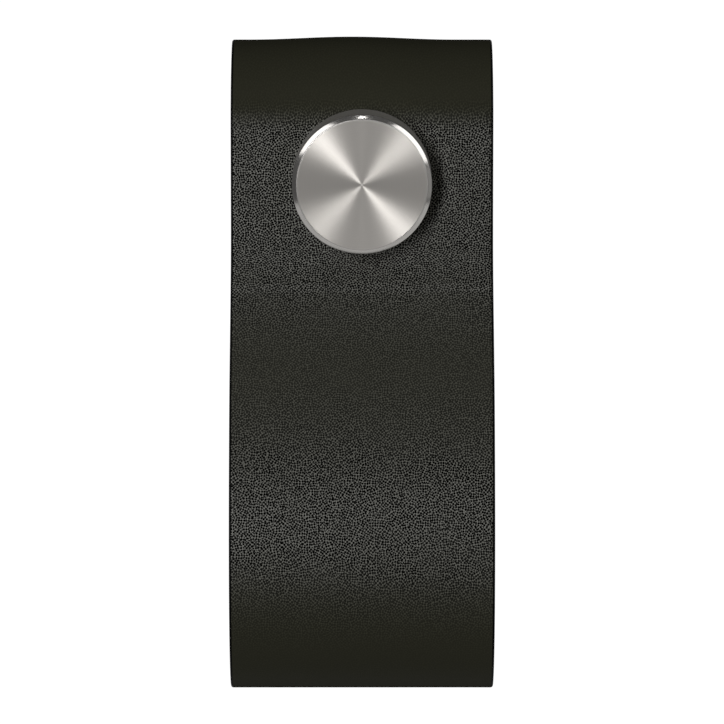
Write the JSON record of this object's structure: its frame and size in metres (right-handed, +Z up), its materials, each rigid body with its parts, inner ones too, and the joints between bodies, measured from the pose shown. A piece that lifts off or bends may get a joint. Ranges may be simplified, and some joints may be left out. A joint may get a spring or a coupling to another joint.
{
  "type": "cabinet knob",
  "caption": "Leather strap folded into a finger loop, clamped to the door by a turned metal button and a machine screw from behind.",
  "frame": {"origin": "where the fixing screw's axis meets the cabinet's face, at the back of the strap", "axes": "+Z up, +Y into the cabinet, so the knob faces -Y, +X to the viewer's right"},
  "size_m": [0.026, 0.0429, 0.0645],
  "materials": {
    "leather": "olive-black pebble grain, semi-gloss, with painted cut edges",
    "spun_steel": "fine concentric turning marks on the face, polished bevel",
    "plated_steel": "bright zinc plating"
  },
  "bodies": {
    "root": {"leather_strap": "leather", "metal_button": "spun_steel", "machine_screw": "plated_steel"}
  },
  "joints": []
}
